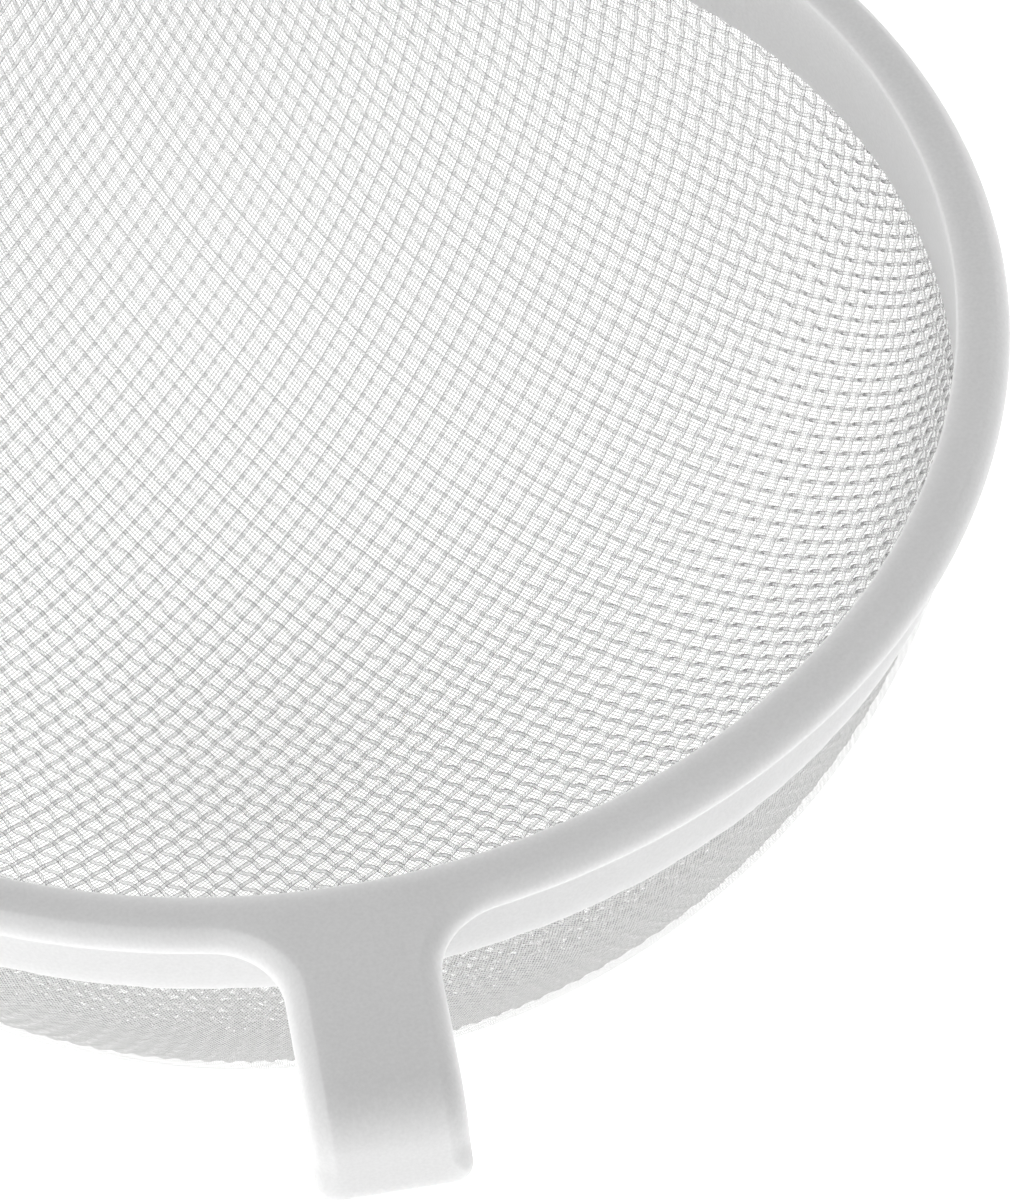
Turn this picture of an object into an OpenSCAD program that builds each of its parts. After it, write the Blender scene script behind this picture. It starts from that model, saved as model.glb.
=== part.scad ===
// Double sieve strainer: a coarse sieve that drops into a fine sieve and hangs with it on a rim.
// Each sieve is one moulding, a ring with a wall and two lugs, and one bowl of woven gauze.
// Origin: on the ring's axis, in the plane of the lugs' underside where they lie on the rim.
// +Z is up and the two lugs lie along Y.

/* [Ring] */
// Clear opening across the top of the upper ring
bore_d = 200; // [170:1:240]
// Width of the ring's flat plate from the opening to its outer face
ring_w = 7.5; // [7:0.1:10]
// Thickness of the upper ring's plate, lip and lugs
skin_t = 1.6; // [1.3:0.1:2]
// Thickness of the lower ring's plate and lugs
plate_t = 1.5; // [1.2:0.1:2]
// Height of the lip that turns down round the upper ring
lip_h = 3.2; // [2.6:0.1:4.5]
// Rounding of the upper ring's inner top edge
bore_edge_r = 0.5; // [0.3:0.1:0.8]

/* [Walls] */
// Thickness of each sieve's wall
wall_t = 1.3; // [1.1:0.1:1.7]
// Height from the top of the upper ring down to the foot of both walls
wall_h = 17.3; // [12:0.1:24]
// How far each wall leans in from its top to its foot
wall_lean = 0.5; // [0.2:0.1:1]

/* [Gauze] */
// Depth of the coarse bowl below the foot of its wall
coarse_depth = 81; // [60:1:100]
// Where the bowls' curve starts at the foot of the wall: 0 is upright, more is a flatter start
rim_slope = 9; // [0:1:20]
// Thickness of the coarse gauze, two threads
coarse_t = 1.2; // [0.8:0.1:1.2]
// Clear space between the two bowls at the bottom
bowl_gap = 1; // [1:0.5:8]
// Thickness of the fine gauze, two threads
fine_t = 0.6; // [0.4:0.1:1]

/* [Lugs] */
// Width of the upper lugs
lug_w = 21.2; // [17:0.1:28]
// Reach of the upper lugs past the ring's outer face
lug_reach = 32; // [26:0.5:40]
// Height from the top of the upper ring down to the tips of the upper lugs
lug_drop = 16.4; // [14:0.1:24]
// Outside radius of the bend in the upper lugs
bend_r = 8.5; // [5:0.1:10]
// Radius of the upper lugs' roots, seen from above
root_r = 11; // [7:0.5:16]
// Rounding of the corners at the lug tips
tip_r = 3; // [2:0.1:4]
// How much shorter the lower lugs are than the upper ones at the tip
tip_step = 1.2; // [0.6:0.1:3]

/* [Fits] */
// Clearance at the sides between what nests
nest_gap = 0.35; // [0.3:0.05:0.6]
// Clearance between the two ring plates
seat_gap = 0.2; // [0.2:0.05:0.4]

/* [Hidden] */
$fn = 180;
// How far a cutting body runs past what it cuts
past = 1;
edge_steps = 6;
bowl_steps = 30;

top_z = plate_t + seat_gap + skin_t;
foot_z = top_z - wall_h;
lip_z = top_z - lip_h;

bore_r = bore_d / 2;
ring_r = bore_r + ring_w;

// Walls: inner radius at the top and at the foot of each
upper_in_top = bore_r;
upper_in_foot = bore_r - wall_lean;
lower_in_top = upper_in_top + wall_t + nest_gap;
lower_in_foot = upper_in_foot + wall_t + nest_gap;

// The lower outline runs inside the upper lip and inside the sides of the upper lugs
lower_inset = skin_t + nest_gap;

// Lug roots: the centre of each root's arc, the same for every inset of the outline
root_x = lug_w / 2 + root_r;
root_y = sqrt((ring_r + root_r) * (ring_r + root_r) - root_x * root_x);

// Upper lug: end of its outer face and start of its bend
tab_y = ring_r + lug_reach;
bend_y = tab_y - bend_r;
tip_z = top_z - lug_drop;

// Lower lug: it follows the upper one, one skin and one gap further in
lower_tab_y = tab_y - skin_t - nest_gap;
lower_bend_r = bend_r - skin_t - seat_gap;
lower_tip_z = tip_z + tip_step;
lower_lug_w = lug_w - 2 * lower_inset;

// Points of an arc about (x, y), from one angle to the other
function arc(x, y, r, from, to) =
    [for (i = [0 : edge_steps])
        let (a = from + (to - from) * i / edge_steps) [x + r * cos(a), y + r * sin(a)]];

// Points down a bowl's meridian, from its rim radius to its lowest point: the part of an ellipse
// that is further round than rim_slope
function meridian(rim_r, depth) =
    [for (i = [0 : bowl_steps])
        let (a = rim_slope + (90 - rim_slope) * i / bowl_steps)
            [rim_r * cos(a) / cos(rim_slope),
             foot_z - depth * (sin(a) - sin(rim_slope)) / (1 - sin(rim_slope))]];

function reversed(points) = [for (i = [len(points) - 1 : -1 : 0]) points[i]];

// Section across an upper lug, a shallow channel: x is the distance across from its middle
module lug_section() {
    outside_x = lug_w / 2;
    inside_x = outside_x - skin_t;
    inside_z = top_z - skin_t;
    polygon([
        [-outside_x, lip_z], [-outside_x, top_z], [outside_x, top_z], [outside_x, lip_z],
        [inside_x, lip_z], [inside_x, inside_z], [-inside_x, inside_z], [-inside_x, lip_z]]);
}

// Plan outline of ring and lugs, moved in by an inset, with the lugs cut square at end_y
module outline(inset, end_y) {
    circle(ring_r - inset);
    for (side = [0, 180]) rotate(side) {
        translate([inset - lug_w / 2, -end_y]) square([lug_w - 2 * inset, end_y]);
        for (flip = [0, 1]) mirror([flip, 0]) root_web(inset);
    }
}

// The web between ring and lug, bounded by the root's arc
module root_web(inset) {
    difference() {
        polygon([[0, 0], [root_x, -root_y], [0, -root_y]]);
        translate([root_x, -root_y]) circle(root_r + inset);
    }
}

// The bent end of an upper lug, its tip corners rounded
module upper_lug_end() {
    translate([0, -bend_y, top_z - bend_r])
        rotate([0, -90, 180])
            rotate_extrude(angle = 90)
                translate([bend_r - top_z, 0]) mirror([1, -1]) lug_section();
    intersection() {
        translate([0, -tab_y + top_z, top_z - bend_r])
            rotate([180, 0, 0])
                linear_extrude(lug_drop - bend_r)
                    lug_section();
        translate([0, past - bend_y, 0])
            rotate([90, 0, 0])
                linear_extrude(bend_r + 2 * past)
                    tip_face(lug_w, tip_z);
    }
}

// Face of a tab from the bend down to its tip, with rounded lower corners
module tip_face(width, low_z) {
    for (x = [tip_r - width / 2, width / 2 - tip_r]) translate([x, low_z + tip_r]) circle(tip_r);
    translate([tip_r - width / 2, low_z]) square([width - 2 * tip_r, tip_r]);
    translate([-width / 2, low_z + tip_r]) square([width, top_z - low_z - tip_r]);
}

// Bowl of gauze: a shell of elliptic section, from the foot of a wall
module bowl(rim_r, depth, thickness) {
    rotate_extrude()
        polygon(concat(
            meridian(rim_r + thickness, depth + thickness),
            reversed(meridian(rim_r, depth))));
}

module upper_frame() {
    color("white") {
        difference() {
            translate([0, 0, lip_z]) linear_extrude(lip_h) outline(0, bend_y);
            translate([0, 0, lip_z - past])
                linear_extrude(lip_h - skin_t + past) outline(skin_t, bend_y + past);
            translate([0, 0, lip_z - past])
                cylinder(r = bore_r + wall_t / 2, h = lip_h + 2 * past);
        }
        for (side = [0, 180]) rotate(side) upper_lug_end();
        rotate_extrude()
            polygon(concat(
                arc(bore_r + bore_edge_r, top_z - bore_edge_r, bore_edge_r, 180, 90),
                [[bore_r + wall_t, top_z], [bore_r + wall_t, top_z - skin_t],
                 [upper_in_foot + wall_t, foot_z], [upper_in_foot, foot_z], [bore_r, top_z - skin_t]]));
    }
}

module coarse_gauze() {
    color("gainsboro", 0.6)
        bowl(upper_in_foot + (wall_t - coarse_t) / 2, coarse_depth, coarse_t);
}

module lower_frame() {
    color("whitesmoke") {
        difference() {
            linear_extrude(plate_t) outline(lower_inset, lower_tab_y - lower_bend_r);
            translate([0, 0, -past]) cylinder(r = lower_in_top + wall_t / 2, h = plate_t + 2 * past);
        }
        rotate_extrude()
            polygon([
                [lower_in_top, plate_t], [lower_in_top + wall_t, plate_t], [lower_in_top + wall_t, 0],
                [lower_in_foot + wall_t, foot_z], [lower_in_foot, foot_z], [lower_in_top, 0]]);
        for (side = [0, 180]) rotate(side) lower_lug_end();
    }
}

// The bent end of a lower lug: a plain strip
module lower_lug_end() {
    translate([0, -(lower_tab_y - lower_bend_r), plate_t - lower_bend_r])
        rotate([0, -90, 180])
            rotate_extrude(angle = 90)
                translate([lower_bend_r - plate_t, -lower_lug_w / 2]) square([plate_t, lower_lug_w]);
    intersection() {
        translate([-lower_lug_w / 2, -lower_tab_y, lower_tip_z])
            cube([lower_lug_w, plate_t, plate_t - lower_bend_r - lower_tip_z]);
        translate([0, past - lower_tab_y + plate_t, 0])
            rotate([90, 0, 0])
                linear_extrude(plate_t + 2 * past)
                    tip_face(lower_lug_w, lower_tip_z);
    }
}

module fine_gauze() {
    fine_rim = lower_in_foot + (wall_t - fine_t) / 2;
    color("ghostwhite", 0.5)
        bowl(fine_rim, coarse_depth + coarse_t + bowl_gap, fine_t);
}

lower_frame();
fine_gauze();
upper_frame();
coarse_gauze();
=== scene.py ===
"""Dresses the double sieve strainer: two white mouldings, a coarse and a fine bowl of woven nylon
gauze, and a stage with a light floor."""
import math
from dataclasses import dataclass

import bmesh
import bpy
import numpy as np
from bpy.props import FloatProperty, FloatVectorProperty, IntProperty, PointerProperty
from mathutils import Matrix, Vector


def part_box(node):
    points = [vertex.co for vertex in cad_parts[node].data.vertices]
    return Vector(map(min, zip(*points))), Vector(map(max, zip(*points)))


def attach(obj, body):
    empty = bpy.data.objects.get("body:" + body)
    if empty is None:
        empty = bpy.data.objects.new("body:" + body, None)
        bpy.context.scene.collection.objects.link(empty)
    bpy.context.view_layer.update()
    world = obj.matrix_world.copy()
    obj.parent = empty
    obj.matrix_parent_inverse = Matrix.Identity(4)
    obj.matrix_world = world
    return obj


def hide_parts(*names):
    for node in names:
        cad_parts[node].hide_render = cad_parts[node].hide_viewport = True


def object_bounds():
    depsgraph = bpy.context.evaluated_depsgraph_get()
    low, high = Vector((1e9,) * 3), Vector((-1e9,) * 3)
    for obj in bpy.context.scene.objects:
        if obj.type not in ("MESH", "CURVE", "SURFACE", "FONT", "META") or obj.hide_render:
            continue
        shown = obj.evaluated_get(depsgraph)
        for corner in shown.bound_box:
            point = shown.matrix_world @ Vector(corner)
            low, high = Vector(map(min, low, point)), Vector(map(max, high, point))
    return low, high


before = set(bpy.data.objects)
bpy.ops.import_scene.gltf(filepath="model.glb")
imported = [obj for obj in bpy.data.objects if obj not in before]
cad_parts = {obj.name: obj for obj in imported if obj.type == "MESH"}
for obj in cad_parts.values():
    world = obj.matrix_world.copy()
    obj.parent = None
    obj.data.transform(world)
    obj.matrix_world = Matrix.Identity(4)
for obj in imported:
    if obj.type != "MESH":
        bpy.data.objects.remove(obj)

bl_info = {
    "name": "Double Sieve Strainer",
    "version": (1, 0, 0),
    "blender": (4, 5, 0),
    "location": "View3D > Sidebar > Strainer",
    "description": "Builds the mouldings and the woven gauze of a double sieve strainer",
    "category": "Mesh",
}

CAD_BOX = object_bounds()
MM = 0.001

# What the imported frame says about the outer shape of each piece
UPPER_LOW, UPPER_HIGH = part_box("upper_frame")
LOWER_LOW, LOWER_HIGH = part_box("lower_frame")
COARSE_LOW, COARSE_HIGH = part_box("coarse_gauze")
FINE_LOW, FINE_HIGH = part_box("fine_gauze")
RING_RADIUS = UPPER_HIGH[0]
TOP_Z = UPPER_HIGH[2]
FOOT_Z = COARSE_HIGH[2]


def length(name, description, default, **more):
    """A size in metres that a user may change."""
    return FloatProperty(name=name, description=description, default=default, min=0.0,
                         precision=5, subtype="DISTANCE", unit="LENGTH", **more)


def colour(name, description, default):
    """A colour that a user may change."""
    return FloatVectorProperty(name=name, description=description, default=default, size=3,
                               min=0.0, max=1.0, subtype="COLOR")


def share(name, description, default):
    """A number from 0 to 1 that a user may change."""
    return FloatProperty(name=name, description=description, default=default, min=0.0, max=1.0,
                         subtype="FACTOR")


class StrainerMouldings(bpy.types.PropertyGroup):
    """Sizes and colour of the two plastic mouldings"""

    ring_width: length("Ring width", "Flat ring from the opening to its outer face", 7.5 * MM)
    skin: length("Skin", "Thickness of the upper ring and lugs", 1.6 * MM)
    plate: length("Plate", "Thickness of the lower ring and lugs", 1.5 * MM)
    lip: length("Lip", "Height of the lip round the upper ring", 3.2 * MM)
    slope: length("Lip slope", "How far the upper lip slopes out below the flat ring", 2.0 * MM)
    lug_edge: length("Lug edge", "Width of the sloping sides of the upper lugs", 3.0 * MM)
    tip_edge: length("Tip edge", "Rounding of the edge at the tips of the lugs", 0.8 * MM)
    bore_edge: length("Opening rounding", "Rounding of the edge of the opening", 0.5 * MM)
    plain_edge: length("Plain edge rounding", "Rounding of thin plastic edges", 0.25 * MM)
    wall: length("Wall", "Thickness of the walls", 1.3 * MM)
    lean: length("Lean", "How far a wall leans in to its foot", 0.5 * MM)
    side_gap: length("Side gap", "Clearance beside what nests", 0.35 * MM)
    lug_width: length("Lug width", "Width of the upper lugs", 21.2 * MM)
    root: length("Lug root", "Radius of the roots of the lugs", 11.0 * MM)
    bend: length("Lug bend", "Outside radius of the bend in the upper lugs", 8.5 * MM)
    seat_gap: length("Seat gap", "Clearance between the two rings", 0.2 * MM)
    tip: length("Tip rounding", "Rounding of the corners of the lug tips", 3.0 * MM)
    foot_wave: length("Foot wave", "Unevenness of the foot where the gauze enters", 0.18 * MM)
    plastic: colour("Plastic", "Colour of the white plastic", (0.76, 0.76, 0.76))


class StrainerGauze(bpy.types.PropertyGroup):
    """Sizes and colours of the two gauzes"""

    thread: length("Thread", "Diameter of the coarse thread", 0.6 * MM)
    pitch_across: length("Pitch across", "Spacing of the straighter coarse threads", 2.37 * MM)
    pitch_along: length("Pitch along", "Spacing of the wavier coarse threads", 2.74 * MM)
    rim_slope: FloatProperty(
        name="Rim slope", description="Where the bowls' curve starts at the foot of the wall",
        default=math.radians(9.0), subtype="ANGLE", unit="ROTATION")
    turn: FloatProperty(name="Weave turn", description="Turn of the weave from the X axis",
                        default=math.radians(41.0), subtype="ANGLE", unit="ROTATION")
    waviness: share("Waviness", "Share of the crimp that the wavier threads take", 0.7)
    embed: length("Embed", "How far the threads run up inside the wall", 3.2 * MM)
    sides: IntProperty(name="Sides", description="Sides of a thread's section", default=6, min=4)
    rings: IntProperty(name="Rings", description="Rings of a thread between crossings",
                       default=4, min=2)
    fine_pitch: length("Fine pitch", "Spacing of the fine threads", 0.55 * MM)
    fine_thread: length("Fine thread", "Diameter of the fine thread", 0.18 * MM)
    fine_sheet: length("Fine sheet", "Thickness that the fine gauze takes up", 0.6 * MM)
    fine_cell: length("Fine cell", "Size of the faces of the fine sheet", 2.2 * MM)
    nylon: colour("Nylon", "Colour of the clear nylon threads", (0.97, 0.97, 0.97))
    fine_nylon: colour("Fine nylon", "Colour of the fine gauze", (0.78, 0.78, 0.77))


class StrainerStage(bpy.types.PropertyGroup):
    """Camera, light and floor"""

    elevation: FloatProperty(name="Elevation", description="Height angle of the camera",
                             default=math.radians(48.07), subtype="ANGLE", unit="ROTATION")
    azimuth: FloatProperty(name="Azimuth", description="Turn of the camera to the left of the lug",
                           default=math.radians(2.7), subtype="ANGLE", unit="ROTATION")
    roll: FloatProperty(name="Roll", description="Tilt of the camera", default=math.radians(7.0),
                        subtype="ANGLE", unit="ROTATION")
    yaw: FloatProperty(name="Yaw", description="Aim of the camera to the side",
                       default=math.radians(-1.32), subtype="ANGLE", unit="ROTATION")
    pitch: FloatProperty(name="Pitch", description="Aim of the camera up or down",
                         default=math.radians(-1.69), subtype="ANGLE", unit="ROTATION")
    distance: length("Distance", "From the camera to the middle of the opening", 1.4)
    lens: FloatProperty(name="Lens", description="Focal length in millimetres", default=355.54)
    right_light: FloatProperty(name="Right light", description="Power of the light on the right",
                               default=1.0)
    left_light: FloatProperty(name="Left light", description="Power of the light on the left",
                              default=2.1)
    front_light: FloatProperty(name="Front light", description="Power of the light in front",
                               default=2.2)
    sky: FloatProperty(name="Sky", description="Strength of the surrounding light", default=1.6)
    glow: FloatProperty(name="Floor glow", description="Light from the floor itself", default=0.75)
    floor: colour("Floor", "Colour of the floor", (0.93, 0.93, 0.93))


# Mesh helpers

def make_object(name, vertices, faces, smooth_angle=math.radians(40)):
    """An object from points and faces, its normals outward and its edges sharp past an angle."""
    mesh = bpy.data.meshes.new(name)
    mesh.from_pydata([tuple(v) for v in vertices], [], [tuple(f) for f in faces])
    body = bmesh.new()
    body.from_mesh(mesh)
    bmesh.ops.recalc_face_normals(body, faces=body.faces)
    body.to_mesh(mesh)
    body.free()
    mesh.shade_smooth()
    mesh.set_sharp_from_angle(angle=smooth_angle)
    piece = bpy.data.objects.new(name, mesh)
    bpy.context.scene.collection.objects.link(piece)
    return piece


def smooth_step(t):
    """Goes from 0 to 1 with a level start and end."""
    t = np.clip(t, 0.0, 1.0)
    return t * t * (3 - 2 * t)


def mix(a, b, share_of_b):
    """A value between two others."""
    return a + (b - a) * share_of_b


def quarter_turn(steps):
    """Angles from 0 to 90 degrees."""
    return np.linspace(0, math.pi / 2, steps + 1)


# Mouldings: a ring with a wall and two bent lugs

# Steps of the mesh along each stretch of the outline and down the wall
LUG_COLUMNS = 16
RING_STEPS = 150
ROOT_STEPS = 14
CORNER_STEPS = 8
BEND_STEPS = 14
FLAT_ROWS = 5
INNER_WALL_STEPS = 7
OUTER_WALL_STEPS = 5

# Powers of the curve across an edge: 2 is round, and a lower one is closer to a flat slope
ROUND_EDGE = 2.0
SLOPING_EDGE = 1.35
# Share of the margin beside the edge that is left at the tips of the lugs
TIP_MARGIN = 0.3
# Ripples of the foot: how many go round the wall, and the phase of each
FOOT_RIPPLES = ((83, 0.0), (131, 1.3), (47, 2.1))


@dataclass
class Moulding:
    """The outline, sections and faces of one moulding; all sizes are in metres."""

    outer_ring: float  # radius of the upper ring's outer face
    outer_inset: float  # how far this moulding's outline lies inside the upper one's
    outer_lug: float  # width of an upper lug
    root: float  # radius of the roots of the upper lugs
    tab_y: float  # outer face of this moulding's lugs
    tip_z: float  # height of the lugs' tips
    top_z: float  # height of the flat top face
    foot_z: float  # height of the foot of the wall
    bend: float  # outside radius of the lugs' bend
    tip: float  # rounding of the corners of the lugs' tips
    skin: float  # thickness of ring and lugs
    lip: float  # height of the edge round ring and lugs
    slope: float  # width of the curve across the ring's edge
    slope_power: float  # power of that curve, and of the one across the lugs' sides
    lug_rounding: float  # width of the curve across the lugs' sides
    tip_edge: float  # rounding of the edge at the lugs' tips
    fillet: float  # rounding of the inner corner under the edge
    cap_margin: float  # flat strip kept beside the edge
    edge_soft: float  # rounding of the other edges
    bore: float  # radius of the opening at the top
    bore_edge: float  # rounding of the edge of the opening
    wall: float  # thickness of the wall
    lean: float  # how far the wall leans in to its foot

    def __post_init__(self):
        self.root_x = self.outer_lug / 2 + self.root
        self.root_y = math.sqrt((self.outer_ring + self.root) ** 2 - self.root_x ** 2)
        self.root_angle = math.atan2(self.root_y, self.root_x)
        self.bend_y = self.tab_y - self.bend
        self.bend_length = self.bend * math.pi / 2
        self.tip_y = self.bend_y + self.bend_length + (self.top_z - self.bend - self.tip_z)
        self.lug_rows = len(self.lug_edge(0.0))
        self.base = self.outline(0.0)
        self.inward = self.outline(1.0) - self.base
        self.points = []
        self.faces = []

    def lug_edge(self, inset):
        """One side of a flat lug, from the tip to where its root meets the ring."""
        inset += self.outer_inset
        half = self.outer_lug / 2
        tip_y = self.tip_y + self.outer_inset
        corner = self.tip + self.outer_inset
        points = []
        for a in np.linspace(-math.pi / 2, 0, CORNER_STEPS + 1):
            reach = corner - inset
            points.append((half - corner + reach * math.cos(a),
                           corner - tip_y + reach * math.sin(a)))
        stops = [corner - tip_y, -self.bend_y - self.bend_length, -self.bend_y, -self.root_y]
        for start, end, steps in zip(stops, stops[1:], (FLAT_ROWS, BEND_STEPS, FLAT_ROWS)):
            points += [(half - inset, y) for y in np.linspace(start, end, steps + 1)[1:]]
        for a in np.linspace(math.pi, math.pi - self.root_angle, ROOT_STEPS + 1)[1:]:
            reach = self.root + inset
            points.append((self.root_x + reach * math.cos(a), reach * math.sin(a) - self.root_y))
        return np.array(points)

    def ring_edge(self, inset):
        """The ring's outline on its right side, between the roots."""
        a = np.linspace(-self.root_angle, self.root_angle, RING_STEPS + 1)[1:-1]
        return (self.outer_ring - self.outer_inset - inset) * np.stack([np.cos(a), np.sin(a)], 1)

    def outline(self, inset):
        """The whole flat outline as one loop, from the front lug's tip round by the right."""
        lug = self.lug_edge(inset)
        ring = self.ring_edge(inset)
        tip = np.linspace(-lug[0], lug[0], LUG_COLUMNS + 1)[1:-1]
        tip[:, 1] = lug[0][1]
        half = np.concatenate([tip, lug, ring, (lug * (1, -1))[::-1]])
        return np.concatenate([half, -half])

    def bent(self, flat, depth):
        """Places flat points at a depth below the top face, with the lugs bent down."""
        out = np.empty((len(flat), 3))
        run = np.maximum(np.abs(flat[:, 1]) - self.bend_y, 0)
        turn = np.minimum(run, self.bend_length) / self.bend
        radius = self.bend - depth
        curved = self.bend_y + radius * np.sin(turn)
        out[:, 0] = flat[:, 0]
        out[:, 1] = np.sign(flat[:, 1]) * np.where(run > 0, curved, np.abs(flat[:, 1]))
        sunk = self.bend - radius * np.cos(turn) + np.maximum(run - self.bend_length, 0)
        out[:, 2] = self.top_z - np.where(run > 0, sunk, depth)
        return out

    def add(self, points):
        """Keeps new points and returns their numbers."""
        first = len(self.points)
        self.points.extend(points)
        return np.arange(first, first + len(points))

    def strip(self, a, b, closed=True):
        """Joins two rows of points with faces."""
        count = len(a) if closed else len(a) - 1
        for k in range(count):
            n = (k + 1) % len(a)
            self.faces.append((a[k], a[n], b[n], b[k]))

    def shares(self):
        """How far each point of the outline is from a tip, and how far it is out on a lug."""
        reach = np.abs(self.base[:, 1])
        from_tip = smooth_step((self.tip_y - reach) / (2 * self.tip))
        ring_end = self.outer_ring * math.sin(self.root_angle)
        on_lug = smooth_step((reach - ring_end) / (self.root_y - ring_end))
        return from_tip, on_lug

    def rim(self):
        """Sweeps the section of the edge round the outline, from the underside to the top."""
        from_tip, on_lug = self.shares()
        soft, skin = self.edge_soft, self.skin
        lip = skin + (self.lip - skin) * from_tip
        width = mix(self.tip_edge, mix(self.slope, self.lug_rounding, on_lug), from_tip)
        depth = mix(self.tip_edge, np.maximum(lip - soft, soft), from_tip)
        power = mix(ROUND_EDGE, self.slope_power, from_tip)
        margin = mix(TIP_MARGIN, 1.0, from_tip) * self.cap_margin
        inner = skin + self.fillet
        drop = np.minimum(self.fillet, lip - skin)
        section = [(inner + margin, np.full_like(lip, skin))]
        for t in quarter_turn(6):
            section.append((inner - self.fillet * np.sin(t), skin + drop * (1 - np.cos(t))))
        for t in quarter_turn(4):
            section.append((skin - soft + soft * np.cos(t), lip - soft + soft * np.sin(t)))
        for t in quarter_turn(4):
            section.append((soft - soft * np.sin(t), lip - soft + soft * np.cos(t)))
        for t in quarter_turn(12):
            section.append((width * (1 - np.abs(np.cos(t)) ** (2 / power)),
                            depth * (1 - np.abs(np.sin(t)) ** (2 / power))))
        section.append((width + margin, np.zeros_like(lip)))
        loops = []
        for inset, below in section:
            inset = np.broadcast_to(inset, from_tip.shape)
            flat = self.base + self.inward * inset[:, None]
            loops.append((self.add(self.bent(flat, below)), flat))
        for (a, _), (b, _) in zip(loops, loops[1:]):
            self.strip(a, b)
        return loops

    def cap(self, edge, depth, bore_loop):
        """Closes the flat face between a loop of the rim and the loop round the opening."""
        loop, flat = edge
        half, bore_half = len(loop) // 2, len(bore_loop) // 2
        tips, rows = LUG_COLUMNS - 1, self.lug_rows
        lug = flat[tips:tips + rows]
        for side in (0, 1):
            at = side * half
            right = loop[at + tips:at + tips + rows]
            left = loop[(at - np.arange(1, rows + 1)) % len(loop)]
            row = np.concatenate([[left[0]], loop[at:at + tips], [right[0]]])
            for r in range(1, rows):
                inner = np.linspace((-lug[r][0], lug[r][1]), lug[r], LUG_COLUMNS + 1)[1:-1]
                inner = inner * (-1 if side else 1)
                new = self.add(self.bent(inner, np.full(len(inner), depth)))
                new = np.concatenate([[left[r]], new, [right[r]]])
                self.strip(row, new, closed=False)
                row = new
            start = side * bore_half
            corner = start + LUG_COLUMNS
            self.strip(row, bore_loop[start:corner + 1], closed=False)
            ring = loop[at + tips + rows - 1:at + tips + rows + RING_STEPS]
            bore = np.take(bore_loop, range(corner, start + bore_half + 1), mode="wrap")
            self.strip(ring, bore, closed=False)

    def bore_angles(self):
        """Angles of the points round the opening, in step with the outline."""
        x = np.linspace(-math.cos(self.root_angle), math.cos(self.root_angle), LUG_COLUMNS + 1)
        front = np.arctan2(-math.sin(self.root_angle), x)
        ring = np.linspace(-self.root_angle, self.root_angle, RING_STEPS + 1)[1:-1]
        half = np.concatenate([front, ring])
        return np.concatenate([half, half + math.pi])

    def wall_loops(self, section, wave):
        """Turns a section of (radius, height) pairs round the axis; the foot is slightly uneven."""
        angles = self.bore_angles()
        ripple = sum(np.sin(count * angles + phase) for count, phase in FOOT_RIPPLES)
        fade = 4 * self.edge_soft
        loops = []
        for radius, z in section:
            near_foot = max(0.0, 1 - (z - self.foot_z) / fade)
            heights = z + wave * near_foot * ripple / len(FOOT_RIPPLES)
            ring = np.stack([radius * np.cos(angles), radius * np.sin(angles), heights], 1)
            loops.append(self.add(ring))
        for a, b in zip(loops, loops[1:]):
            self.strip(a, b)
        return loops


def quarter(centre, radius, start, end, steps=6):
    """Points of a quarter circle in a section, with angles in degrees."""
    a = np.radians(np.linspace(start, end, steps + 1))
    return [(centre[0] + radius * math.cos(t), centre[1] + radius * math.sin(t)) for t in a]


def build_moulding(name, shape, wave):
    """Makes one moulding: its rim, its two flat faces and its wall."""
    soft, skin = shape.edge_soft, shape.skin
    rim = shape.rim()
    top_in, foot_in = shape.bore, shape.bore - shape.lean
    wall, foot_z, under_z = shape.wall, shape.foot_z, shape.top_z - skin
    round_top = shape.bore_edge
    wall_section = quarter((top_in + round_top, shape.top_z - round_top), round_top, 90, 180)
    for t in np.linspace(0, 1, INNER_WALL_STEPS + 1)[1:-1]:
        wall_section.append((top_in - shape.lean * t,
                             under_z + (foot_z + 2 * soft - under_z) * t))
    wall_section += quarter((foot_in + soft, foot_z + soft), soft, 180, 270, 4)
    wall_section += quarter((foot_in + wall - soft, foot_z + soft), soft, 270, 360, 4)
    for t in np.linspace(0, 1, OUTER_WALL_STEPS + 1)[1:-1]:
        wall_section.append((foot_in + wall + shape.lean * t,
                             foot_z + 2 * soft + (under_z - 4 * soft - foot_z) * t))
    wall_section += [(2 * (top_in + wall + soft) - x, y) for x, y in quarter(
        (top_in + wall + soft, under_z - soft), soft, 0, 90)]
    loops = shape.wall_loops(wall_section, wave)
    shape.cap(rim[-1], 0.0, loops[0])
    shape.cap(rim[0], skin, loops[-1])
    return make_object(name, shape.points, shape.faces)


# Gauze: threads laid as an inextensible cloth over a bowl

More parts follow.
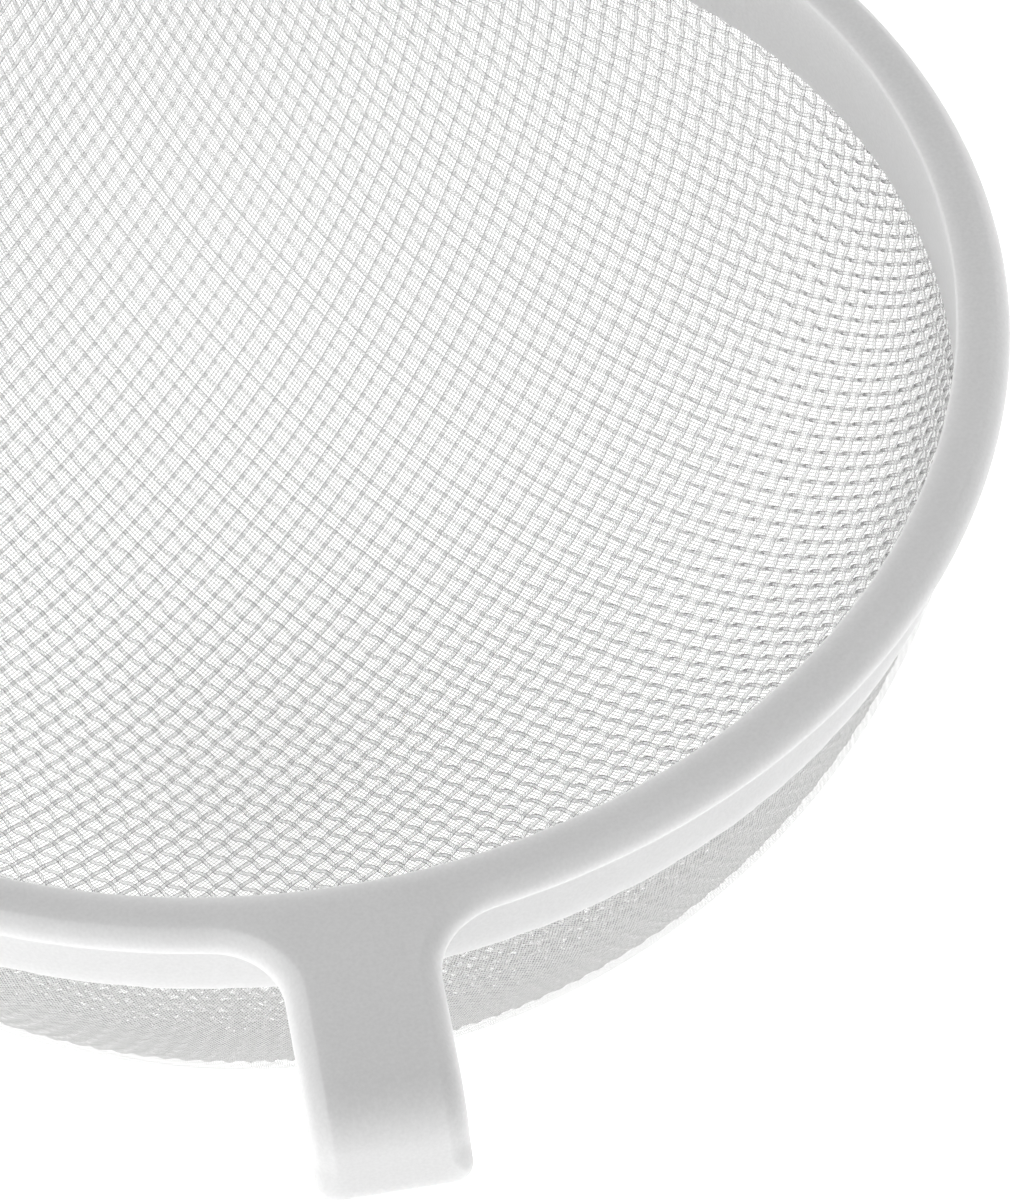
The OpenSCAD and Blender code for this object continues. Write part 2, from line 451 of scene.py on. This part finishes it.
class Bowl:
    """Middle surface of a gauze: the lower part of an ellipsoid, carried on up inside its wall."""

    def __init__(self, radius, depth, slope, foot_z, flare):
        self.radius, self.depth, self.foot_z, self.flare = radius, depth, foot_z, flare
        self.wide = radius / math.cos(slope)
        self.tall = depth / (1 - math.sin(slope))
        self.centre = self.tall * math.sin(slope)

    def gap(self, points):
        """Zero on the surface, and its gradient."""
        raised = points[:, 2] - self.foot_z
        in_wall = raised > 0
        sunk = np.where(in_wall, 0, self.centre - raised)
        radius = np.where(in_wall, self.radius + self.flare * raised, self.wide)
        flat = points[:, 0] ** 2 + points[:, 1] ** 2
        value = flat / radius ** 2 + (sunk / self.tall) ** 2 - 1
        slope = -2 * sunk / self.tall ** 2 - np.where(
            in_wall, 2 * flat * self.flare / radius ** 3, 0)
        gradient = np.stack([2 * points[:, 0] / radius ** 2, 2 * points[:, 1] / radius ** 2,
                             slope], 1)
        return value, gradient

    def normals(self, points):
        """Outward directions of length 1."""
        gradient = self.gap(points)[1]
        return gradient / np.linalg.norm(gradient, axis=1, keepdims=True)


SOLVER_STEPS = 14
SOLVER_ERROR = 1e-7
TINY = 1e-12
# How far the grid of crossings can reach, as a share of the way from the lowest point to the rim
SPARE_REACH = 1.35
# Crossings that a thread needs to be made
FEWEST_CROSSINGS = 3


def meet(bowl, guess, from_a, step_a, from_b, step_b):
    """Points on the bowl at given distances from two others; not-a-number where there is none."""
    points = guess.copy()
    for _ in range(SOLVER_STEPS):
        value, gradient = bowl.gap(points)
        to_a, to_b = points - from_a, points - from_b
        scale = bowl.radius ** 2
        error = np.stack([(to_a ** 2).sum(1) - step_a ** 2, (to_b ** 2).sum(1) - step_b ** 2,
                          value * scale], 1)
        matrix = np.stack([2 * to_a, 2 * to_b, gradient * scale], 1)
        matrix += np.eye(3) * TINY
        move = np.linalg.solve(matrix, -error[:, :, None])[:, :, 0]
        size = np.linalg.norm(move, axis=1, keepdims=True)
        points += move * np.minimum(1, step_a / np.maximum(size, TINY))
    lost = np.abs(error).max(1) > SOLVER_ERROR
    points[lost] = np.nan
    return points


def drape(bowl, step_x, step_y, rise):
    """Crossings of a cloth laid in the bowl, as a grid that has the bowl's lowest point in its
    middle: the first index counts steps along X and the second along Y."""
    reach = SPARE_REACH * max(bowl.radius, bowl.depth) * math.pi / 2 + rise
    count = int(reach / min(step_x, step_y)) + 4
    grid = np.full((count, count, 3), np.nan)
    low = np.array([0.0, 0.0, bowl.foot_z - bowl.depth])
    grid[0, 0] = low
    top = bowl.foot_z + rise
    for axis, step in ((0, step_x), (1, step_y)):
        ahead = np.zeros(3)
        ahead[axis] = step
        aside = np.zeros(3)
        aside[1 - axis] = 1.0
        here = low
        for k in range(1, count):
            # the point beside the plane of the first thread holds the new one in that plane
            guess = (here + ahead)[None]
            beside = (here + aside)[None]
            there = meet(bowl, guess, here[None], step, beside, math.hypot(1.0, step))[0]
            if not there[2] < top:
                break
            if axis == 0:
                grid[k, 0] = there
            else:
                grid[0, k] = there
            ahead = there - here
            here = there
    for total in range(2, 2 * count):
        i = np.arange(max(1, total - count + 1), min(count, total))
        j = total - i
        a, b, c = grid[i - 1, j], grid[i, j - 1], grid[i - 1, j - 1]
        known = ~np.isnan(a[:, 0] + b[:, 0] + c[:, 0])
        if not known.any():
            continue
        i, j, a, b, c = i[known], j[known], a[known], b[known], c[known]
        found = meet(bowl, a + b - c, a, step_x, b, step_y)
        found[~(found[:, 2] < top)] = np.nan
        grid[i, j] = found
    whole = np.concatenate([grid[:0:-1] * (-1, 1, 1), grid])
    return np.concatenate([whole[:, :0:-1] * (1, -1, 1), whole], 1)


def turned(points, angle):
    """Turns points about the Z axis."""
    c, s = math.cos(angle), math.sin(angle)
    return points @ np.array([[c, s, 0], [-s, c, 0], [0, 0, 1]])


def middle_run(known):
    """The unbroken stretch of a thread round its middle, as a start and an end."""
    middle = len(known) // 2
    if not known[middle]:
        spots = np.flatnonzero(known)
        if len(spots) == 0:
            return 0, 0
        middle = spots[np.argmin(np.abs(spots - middle))]
    start = end = middle
    while start > 0 and known[start - 1]:
        start -= 1
    while end < len(known) and known[end]:
        end += 1
    return start, end


def between(points, rings):
    """Smooth points along a thread: the given ones and rings - 1 more between each two."""
    padded = np.concatenate([2 * points[:1] - points[1:2], points, 2 * points[-1:] - points[-2:-1]])
    t = np.arange(0, (len(points) - 1) * rings + 1) / rings
    k = np.minimum(t.astype(int), len(points) - 2)
    f = (t - k)[:, None]
    a, b, c, d = (padded[k + n] for n in range(4))
    curve = b + 0.5 * f * (c - a + f * (2 * a - 5 * b + 4 * c - d + f * (3 * (b - c) + d - a)))
    return t, curve


def thread_tube(line, normals, radius, sides, first):
    """Points and faces of one closed round thread; first is the number of its first point."""
    ahead = np.gradient(line, axis=0)
    ahead /= np.linalg.norm(ahead, axis=1, keepdims=True)
    across = np.cross(ahead, normals)
    across /= np.linalg.norm(across, axis=1, keepdims=True)
    out = np.cross(across, ahead)
    a = np.arange(sides) * 2 * math.pi / sides
    ring = radius * (np.cos(a)[None, :, None] * out[:, None]
                     + np.sin(a)[None, :, None] * across[:, None])
    points = (line[:, None] + ring).reshape(-1, 3)
    n = len(line)
    k, s = np.meshgrid(np.arange(n - 1), np.arange(sides), indexing="ij")
    t = (s + 1) % sides
    quads = np.stack([k * sides + s, k * sides + t, (k + 1) * sides + t, (k + 1) * sides + s], -1)
    faces = [tuple(q) for q in (quads.reshape(-1, 4) + first).tolist()]
    faces.append(tuple(range(first + sides - 1, first - 1, -1)))
    faces.append(tuple(range(first + (n - 1) * sides, first + n * sides)))
    return points, faces


def weave(grid, bowl, turn, radius, waviness, rings, sides):
    """Round threads through a draped grid, over and under each other in plain weave."""
    points, faces, count = [], [], 0
    half = grid.shape[0] // 2 + grid.shape[1] // 2
    for along in (0, 1):
        lines = grid if along == 0 else grid.transpose(1, 0, 2)
        height = 2 * radius * (waviness if along == 0 else 1 - waviness)
        side = 1 if along == 0 else -1
        for number, nodes in enumerate(lines):
            start, end = middle_run(~np.isnan(nodes[:, 0]))
            if end - start < FEWEST_CROSSINGS:
                continue
            t, line = between(nodes[start:end], rings)
            normals = bowl.normals(line)
            swing = side * (-1) ** (number + start + half) * height * np.cos(math.pi * t)
            line = line + normals * swing[:, None]
            tube, tube_faces = thread_tube(turned(line, turn), turned(normals, turn), radius, sides,
                                           count)
            points.append(tube)
            faces += tube_faces
            count += len(tube)
    return np.concatenate(points), faces


# Materials

class Nodes:
    """The nodes of a material or a world under construction; a link is (node, socket name)."""

    def __init__(self, owner):
        owner.use_nodes = True
        self.owner = owner
        self.tree = owner.node_tree
        self.tree.nodes.clear()

    def add(self, kind, inputs=None, **settings):
        """A new node; a key of inputs is a socket, and its value a number, a colour or a link."""
        node = self.tree.nodes.new("ShaderNode" + kind)
        for key, value in settings.items():
            setattr(node, key, value)
        for key, value in (inputs or {}).items():
            socket = node.inputs[key]
            if isinstance(value, tuple) and isinstance(value[0], bpy.types.Node):
                self.tree.links.new(value[0].outputs[value[1]], socket)
            else:
                socket.default_value = value
        return node

    def math(self, operation, a, b=0.0):
        """The link from a new Math node."""
        return (self.add("Math", {0: a, 1: b}, operation=operation), 0)

    def ramp(self, factor, stops):
        """A ColorRamp with stops of (position, grey or colour)."""
        node = self.add("ValToRGB", {0: factor})
        elements = node.color_ramp.elements
        while len(elements) < len(stops):
            elements.new(0.5)
        for element, (position, shade) in zip(elements, stops):
            element.position = position
            rgb = shade if isinstance(shade, tuple) else (shade, shade, shade)
            element.color = (*rgb, 1.0)
        return node

    def finish(self, shader, kind="OutputMaterial"):
        """Links the shader to the output and returns the material or world."""
        self.add(kind, {"Surface": (shader, 0)})
        return self.owner


def material_nodes(name):
    """The empty node tree of a new material."""
    return Nodes(bpy.data.materials.new(name))


def between_shades(nodes, factor, low, high, shade, least):
    """A colour that goes from a darker form of a shade up to the shade itself."""
    darker = tuple(least * c for c in shade)
    return nodes.ramp(factor, [(low, darker), (high, tuple(shade))])


def moulded_plastic(name, plastic, seed):
    """Satin white polypropylene: a fine grain, faint clouding and slightly dusty roughness."""
    nodes = material_nodes(name)
    place = (nodes.add("TexCoord"), "Object")
    cloud = nodes.add("TexNoise", {"Vector": place, "Scale": 34.0, "Detail": 3.0, "W": seed},
                      noise_dimensions="4D")
    grain = nodes.add("TexNoise", {"Vector": place, "Scale": 2400.0, "Detail": 2.0, "W": seed},
                      noise_dimensions="4D")
    speckle = nodes.add("TexNoise", {"Vector": place, "Scale": 1900.0, "Detail": 1.0, "W": seed},
                        noise_dimensions="4D")
    shade = nodes.math("ADD", nodes.math("MULTIPLY", (cloud, "Fac"), 0.35),
                       nodes.math("MULTIPLY", (speckle, "Fac"), 0.65))
    paint = between_shades(nodes, shade, 0.35, 0.65, plastic, 0.93)
    gloss = nodes.ramp((cloud, "Fac"), [(0.3, 0.36), (0.7, 0.48)])
    bump = nodes.add("Bump", {"Height": (grain, "Fac"), "Strength": 0.12, "Distance": 0.00006})
    shader = nodes.add("BsdfPrincipled", {
        "Base Color": (paint, "Color"), "Roughness": (gloss, "Color"), "Normal": (bump, "Normal"),
        "Subsurface Weight": 0.7, "Subsurface Radius": (1.0, 1.0, 1.0), "Subsurface Scale": 0.004,
        "IOR": 1.49})
    return nodes.finish(shader)


def clear_thread(name, nylon):
    """Clear nylon monofilament, slightly milky, uneven in its gloss, with painted shade darkening
    its colour towards its edges.
    """
    nodes = material_nodes(name)
    place = (nodes.add("TexCoord"), "Object")
    flecks = nodes.add("TexNoise", {"Vector": place, "Scale": 700.0, "Detail": 2.0})
    paint = between_shades(nodes, (flecks, "Fac"), 0.3, 0.7, nylon, 0.96)
    gloss = nodes.ramp((flecks, "Fac"), [(0.3, 0.06), (0.7, 0.16)])
    # Painted shade: the Layer Weight facing ramp darkens the thread's colour where its surface
    # turns away from the view, standing in for the dark edges that refraction of the surroundings
    # gives
    facing = (nodes.add("LayerWeight", {"Blend": 0.5}), "Facing")
    rim = nodes.ramp(facing, [(0.25, 1.0), (0.62, 0.48)])
    # The flecked colour multiplied by the painted edge shade
    flecks_and_painted_edge_shade = nodes.add("Mix", {0: 1.0, 6: (paint, "Color"), 7: (rim, "Color")},
                      data_type="RGBA", blend_type="MULTIPLY")
    shader = nodes.add("BsdfPrincipled", {
        "Base Color": (flecks_and_painted_edge_shade, 2), "Roughness": (gloss, "Color"),
        "Transmission Weight": 0.92, "IOR": 1.53})
    return nodes.finish(shader)


def fine_weave(name, shade, pitch, thread):
    """Fine plain-woven gauze drawn in the sheet's own coordinates, open between its threads."""
    nodes = material_nodes(name)
    uv = nodes.add("UVMap", uv_map="weave")
    split = nodes.add("SeparateXYZ", {"Vector": (uv, "UV")})
    masks = []
    for axis in ("X", "Y"):
        count = nodes.math("MULTIPLY", (split, axis), 1.0 / pitch)
        offset = nodes.math("PINGPONG", count, 0.5)
        near = nodes.math("MULTIPLY", offset, pitch / (thread / 2))
        masks.append(nodes.math("SUBTRACT", 1.0, nodes.math("MINIMUM", near, 1.0)))
    cover = nodes.math("MAXIMUM", masks[0], masks[1])
    solid = nodes.ramp(cover, [(0.0, 0.0), (0.15, 0.72)])
    place = (nodes.add("TexCoord"), "Object")
    cloud = nodes.add("TexNoise", {"Vector": place, "Scale": 60.0, "Detail": 2.0})
    paint = between_shades(nodes, (cloud, "Fac"), 0.3, 0.7, shade, 0.97)
    bump = nodes.add("Bump", {"Height": cover, "Strength": 0.5, "Distance": 0.0001})
    shader = nodes.add("BsdfPrincipled", {
        "Base Color": (paint, "Color"), "Alpha": (solid, "Color"), "Normal": (bump, "Normal"),
        "Roughness": 0.35, "IOR": 1.53})
    return nodes.finish(shader)


def light_floor(name, shade, glow):
    """A pale light-table floor with a very faint mottle."""
    nodes = material_nodes(name)
    place = (nodes.add("TexCoord"), "Object")
    mottle = nodes.add("TexNoise", {"Vector": place, "Scale": 3.0, "Detail": 2.0})
    paint = between_shades(nodes, (mottle, "Fac"), 0.3, 0.7, shade, 0.985)
    shader = nodes.add("BsdfPrincipled", {
        "Base Color": (paint, "Color"), "Roughness": 0.8, "Emission Color": (paint, "Color"),
        "Emission Strength": glow})
    return nodes.finish(shader)


def finish_piece(piece, material, body, node):
    """Gives a piece its material, and its place in the frame."""
    piece.data.materials.append(material)
    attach(piece, body)
    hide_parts(node)


# Operators

class STRAINER_OT_upper_frame(bpy.types.Operator):
    """Make the coarse sieve's ring, wall and lugs"""
    bl_idname = "strainer.upper_frame"
    bl_label = "Upper frame"

    def execute(self, context):
        sizes = context.scene.strainer_mouldings
        shape = Moulding(
            outer_ring=RING_RADIUS, outer_inset=0.0, outer_lug=sizes.lug_width, root=sizes.root,
            tab_y=UPPER_HIGH[1], tip_z=UPPER_LOW[2], top_z=TOP_Z, foot_z=FOOT_Z,
            bend=sizes.bend, tip=sizes.tip, skin=sizes.skin, lip=sizes.lip, slope=sizes.slope,
            slope_power=SLOPING_EDGE, lug_rounding=sizes.lug_edge, tip_edge=sizes.tip_edge,
            fillet=sizes.bore_edge, cap_margin=sizes.bore_edge / 2,
            edge_soft=sizes.plain_edge, bore=RING_RADIUS - sizes.ring_width,
            bore_edge=sizes.bore_edge, wall=sizes.wall, lean=sizes.lean)
        piece = build_moulding("coarse_sieve_frame", shape, sizes.foot_wave)
        material = moulded_plastic("white moulded plastic", sizes.plastic, 0.0)
        finish_piece(piece, material, "coarse_sieve", "upper_frame")
        return {"FINISHED"}


class STRAINER_OT_lower_frame(bpy.types.Operator):
    """Make the fine sieve's ring, wall and lugs"""
    bl_idname = "strainer.lower_frame"
    bl_label = "Lower frame"

    def execute(self, context):
        sizes = context.scene.strainer_mouldings
        inset = sizes.skin + sizes.side_gap
        shape = Moulding(
            outer_ring=RING_RADIUS, outer_inset=inset, outer_lug=sizes.lug_width, root=sizes.root,
            tab_y=LOWER_HIGH[1], tip_z=LOWER_LOW[2], top_z=LOWER_HIGH[2], foot_z=FOOT_Z,
            bend=sizes.bend - sizes.skin - sizes.seat_gap, tip=sizes.tip, skin=sizes.plate,
            lip=sizes.plate, slope=sizes.plain_edge, slope_power=ROUND_EDGE,
            lug_rounding=sizes.plain_edge, tip_edge=sizes.plain_edge,
            fillet=0.0, cap_margin=sizes.bore_edge / 2, edge_soft=sizes.plain_edge,
            bore=RING_RADIUS - sizes.ring_width + sizes.wall + sizes.side_gap,
            bore_edge=sizes.plain_edge, wall=sizes.wall, lean=sizes.lean)
        piece = build_moulding("fine_sieve_frame", shape, sizes.foot_wave)
        material = moulded_plastic("white moulded plastic, lower", sizes.plastic, 7.0)
        finish_piece(piece, material, "fine_sieve", "lower_frame")
        return {"FINISHED"}


def wall_flare(sizes):
    """Slope of a wall's inner face."""
    return sizes.lean / (TOP_Z - sizes.skin - FOOT_Z)


class STRAINER_OT_coarse_gauze(bpy.types.Operator):
    """Weave the coarse gauze thread by thread over its bowl"""
    bl_idname = "strainer.coarse_gauze"
    bl_label = "Coarse gauze"

    def execute(self, context):
        sizes = context.scene.strainer_gauze
        radius = sizes.thread / 2
        rim = COARSE_HIGH[0] - sizes.thread
        depth = FOOT_Z - COARSE_LOW[2] - sizes.thread
        bowl = Bowl(rim, depth, sizes.rim_slope, FOOT_Z,
                    wall_flare(context.scene.strainer_mouldings))
        grid = drape(bowl, sizes.pitch_across, sizes.pitch_along, sizes.embed)
        points, faces = weave(grid, bowl, sizes.turn, radius, sizes.waviness, sizes.rings,
                              sizes.sides)
        piece = make_object("coarse_sieve_gauze", points, faces, math.radians(80))
        material = clear_thread("clear nylon thread", sizes.nylon)
        finish_piece(piece, material, "coarse_sieve", "coarse_gauze")
        return {"FINISHED"}


class STRAINER_OT_fine_gauze(bpy.types.Operator):
    """Lay the fine gauze as one sheet over its bowl"""
    bl_idname = "strainer.fine_gauze"
    bl_label = "Fine gauze"

    def execute(self, context):
        sizes = context.scene.strainer_gauze
        half = sizes.fine_sheet / 2
        bowl = Bowl(FINE_HIGH[0] - half, FOOT_Z - FINE_LOW[2] - half, sizes.rim_slope, FOOT_Z,
                    wall_flare(context.scene.strainer_mouldings))
        step = sizes.fine_cell
        grid = drape(bowl, step, step, sizes.embed)
        known = ~np.isnan(grid[:, :, 0])
        numbers = np.full(known.shape, -1)
        numbers[known] = np.arange(known.sum())
        places = turned(grid[known], sizes.turn)
        corners = [numbers[:-1, :-1], numbers[1:, :-1], numbers[1:, 1:], numbers[:-1, 1:]]
        quads = np.stack(corners, -1).reshape(-1, 4)
        quads = quads[(quads >= 0).all(1)]
        piece = make_object("fine_sieve_gauze", places, quads.tolist())
        steps = np.argwhere(known) * step
        layer = piece.data.uv_layers.new(name="weave")
        for loop in piece.data.loops:
            layer.data[loop.index].uv = steps[loop.vertex_index]
        material = fine_weave("fine nylon weave", sizes.fine_nylon, sizes.fine_pitch,
                              sizes.fine_thread)
        finish_piece(piece, material, "fine_sieve", "fine_gauze")
        return {"FINISHED"}


FLOOR_HALF = 3.0
FLOOR_GAP = 0.3 * MM
# Each lamp's setting, its size and its place
LAMPS = (("right_light", 0.9, (0.9, -0.5, 0.9)),
         ("left_light", 0.8, (-1.2, -0.25, 0.75)),
         ("front_light", 0.8, (-0.1, -1.5, 0.3)))
# Where the surrounding light is weaker
DIM_SIDE = (0.66, -0.66, 0.35)


class STRAINER_OT_stage(bpy.types.Operator):
    """Set the floor, the light and the camera"""
    bl_idname = "strainer.stage"
    bl_label = "Stage"

    def execute(self, context):
        sizes = context.scene.strainer_stage
        self.make_floor(sizes)
        self.make_light(context.scene, sizes)
        self.make_camera(context.scene, sizes)
        context.scene.view_settings.view_transform = "Standard"
        return {"FINISHED"}

    def make_floor(self, sizes):
        half, z = FLOOR_HALF, CAD_BOX[0][2] - FLOOR_GAP
        corners = [(-half, -half, z), (half, -half, z), (half, half, z), (-half, half, z)]
        floor = make_object("floor", corners, [(0, 1, 2, 3)])
        floor.data.materials.append(light_floor("light floor", sizes.floor, sizes.glow))

    def make_light(self, scene, sizes):
        nodes = Nodes(bpy.data.worlds.new("studio"))
        direction = (nodes.add("TexCoord"), "Generated")
        height = (nodes.add("SeparateXYZ", {"Vector": direction}), "Z")
        band = nodes.ramp(height, [(0.0, 1.0), (0.2, 0.9), (0.55, 0.45), (1.0, 0.4)])
        toward = nodes.add("VectorMath", {0: direction, 1: DIM_SIDE}, operation="DOT_PRODUCT")
        room = nodes.ramp((toward, "Value"), [(0.35, 1.0), (0.8, 0.3)])
        shade = nodes.add("Mix", {0: 1.0, 6: (band, "Color"), 7: (room, "Color")},
                          data_type="RGBA", blend_type="MULTIPLY")
        sky = nodes.add("Background", {"Color": (shade, 2), "Strength": sizes.sky})
        scene.world = nodes.finish(sky, "OutputWorld")
        for setting, size, place in LAMPS:
            name = setting.replace("_", " ")
            light = bpy.data.lights.new(name, "AREA")
            light.size, light.energy = size, getattr(sizes, setting)
            lamp = bpy.data.objects.new(name, light)
            lamp.location = place
            lamp.rotation_euler = (-lamp.location).to_track_quat("-Z", "Y").to_euler()
            scene.collection.objects.link(lamp)

    def make_camera(self, scene, sizes):
        away = Vector((0, -math.cos(sizes.elevation), math.sin(sizes.elevation)))
        ahead, right = -away, Vector((1, 0, 0))
        up = right.cross(ahead)
        aim = Matrix.Rotation(sizes.yaw, 3, up) @ Matrix.Rotation(sizes.pitch, 3, right)
        ahead, right, up = aim @ ahead, aim @ right, aim @ up
        tilt = Matrix.Rotation(sizes.roll, 3, ahead)
        right, up = tilt @ right, tilt @ up
        axes = Matrix((right, up, -ahead)).transposed()
        turn = Matrix.Rotation(-sizes.azimuth, 3, "Z")
        place = Vector((0, 0, TOP_Z)) + turn @ away * sizes.distance
        camera = bpy.data.cameras.new("camera")
        camera.sensor_fit = "HORIZONTAL"
        camera.sensor_width = 36.0
        camera.lens = sizes.lens
        camera.clip_start, camera.clip_end = 0.05, 20.0
        holder = bpy.data.objects.new("camera", camera)
        holder.matrix_world = Matrix.Translation(place) @ (turn @ axes).to_4x4()
        scene.collection.objects.link(holder)
        scene.camera = holder


class STRAINER_PT_panel(bpy.types.Panel):
    """Lists the steps that build the strainer and its sizes"""
    bl_label = "Double Sieve Strainer"
    bl_idname = "STRAINER_PT_panel"
    bl_space_type = "VIEW_3D"
    bl_region_type = "UI"
    bl_category = "Strainer"

    def draw(self, context):
        layout = self.layout
        for step in STEPS:
            layout.operator(step.bl_idname)
        for name in PROPERTY_GROUPS:
            group = getattr(context.scene, name)
            box = layout.box()
            for key in group.__annotations__:
                box.prop(group, key)


STEPS = (STRAINER_OT_stage, STRAINER_OT_upper_frame, STRAINER_OT_lower_frame,
         STRAINER_OT_coarse_gauze, STRAINER_OT_fine_gauze)
PROPERTY_GROUPS = {
    "strainer_mouldings": StrainerMouldings,
    "strainer_gauze": StrainerGauze,
    "strainer_stage": StrainerStage,
}


def register():
    for name, group in PROPERTY_GROUPS.items():
        bpy.utils.register_class(group)
        setattr(bpy.types.Scene, name, PointerProperty(type=group))
    for step in STEPS:
        bpy.utils.register_class(step)
    bpy.utils.register_class(STRAINER_PT_panel)


def unregister():
    bpy.utils.unregister_class(STRAINER_PT_panel)
    for step in reversed(STEPS):
        bpy.utils.unregister_class(step)
    for name, group in reversed(PROPERTY_GROUPS.items()):
        delattr(bpy.types.Scene, name)
        bpy.utils.unregister_class(group)


def main():
    register()
    bpy.ops.strainer.stage()
    bpy.ops.strainer.upper_frame()
    bpy.ops.strainer.lower_frame()
    bpy.ops.strainer.coarse_gauze()
    bpy.ops.strainer.fine_gauze()


if __name__ == "__main__":
    main()
